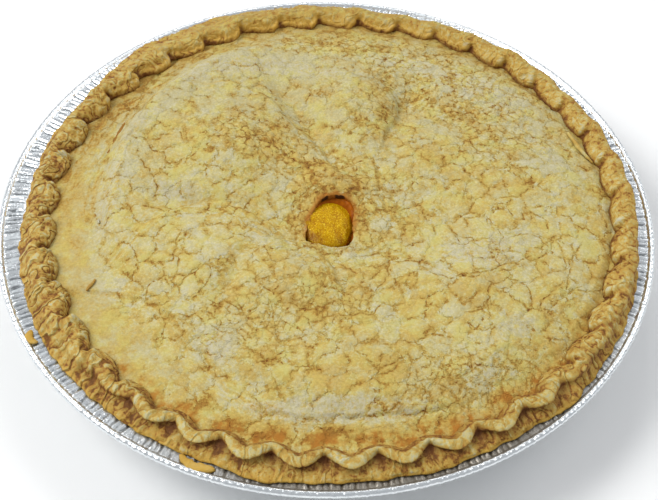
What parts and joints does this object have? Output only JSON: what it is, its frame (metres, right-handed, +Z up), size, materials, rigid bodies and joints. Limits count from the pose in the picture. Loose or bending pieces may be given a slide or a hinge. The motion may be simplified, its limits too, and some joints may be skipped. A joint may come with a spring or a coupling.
{
  "type": "double-crust peach pie",
  "caption": "Round double-crust peach pie with a fluted edge, a crackled lumpy lid and a steam vent that shows the fruit, in a shallow foil tin with a rolled rim.",
  "frame": {"origin": "centre of the tin's flat bottom face, on the surface that the pie stands on", "axes": "+Z up out of the lid; -Y towards the side that the picture was taken from; +X to the right seen from there"},
  "size_m": [0.3044, 0.3044, 0.0522],
  "materials": {
    "foil": "thin pressed foil, bright, finely ribbed on the flange",
    "crust": "dry baked shortcrust, pale golden and floury on the lid, golden brown on the edge, crackled",
    "filling": "glossy brown-orange fruit gel",
    "peach": "wet golden-yellow cooked peach"
  },
  "bodies": {
    "root": {"foil_tin": "foil", "crust": "crust", "filling": "filling", "peach_piece": "peach"}
  },
  "joints": []
}
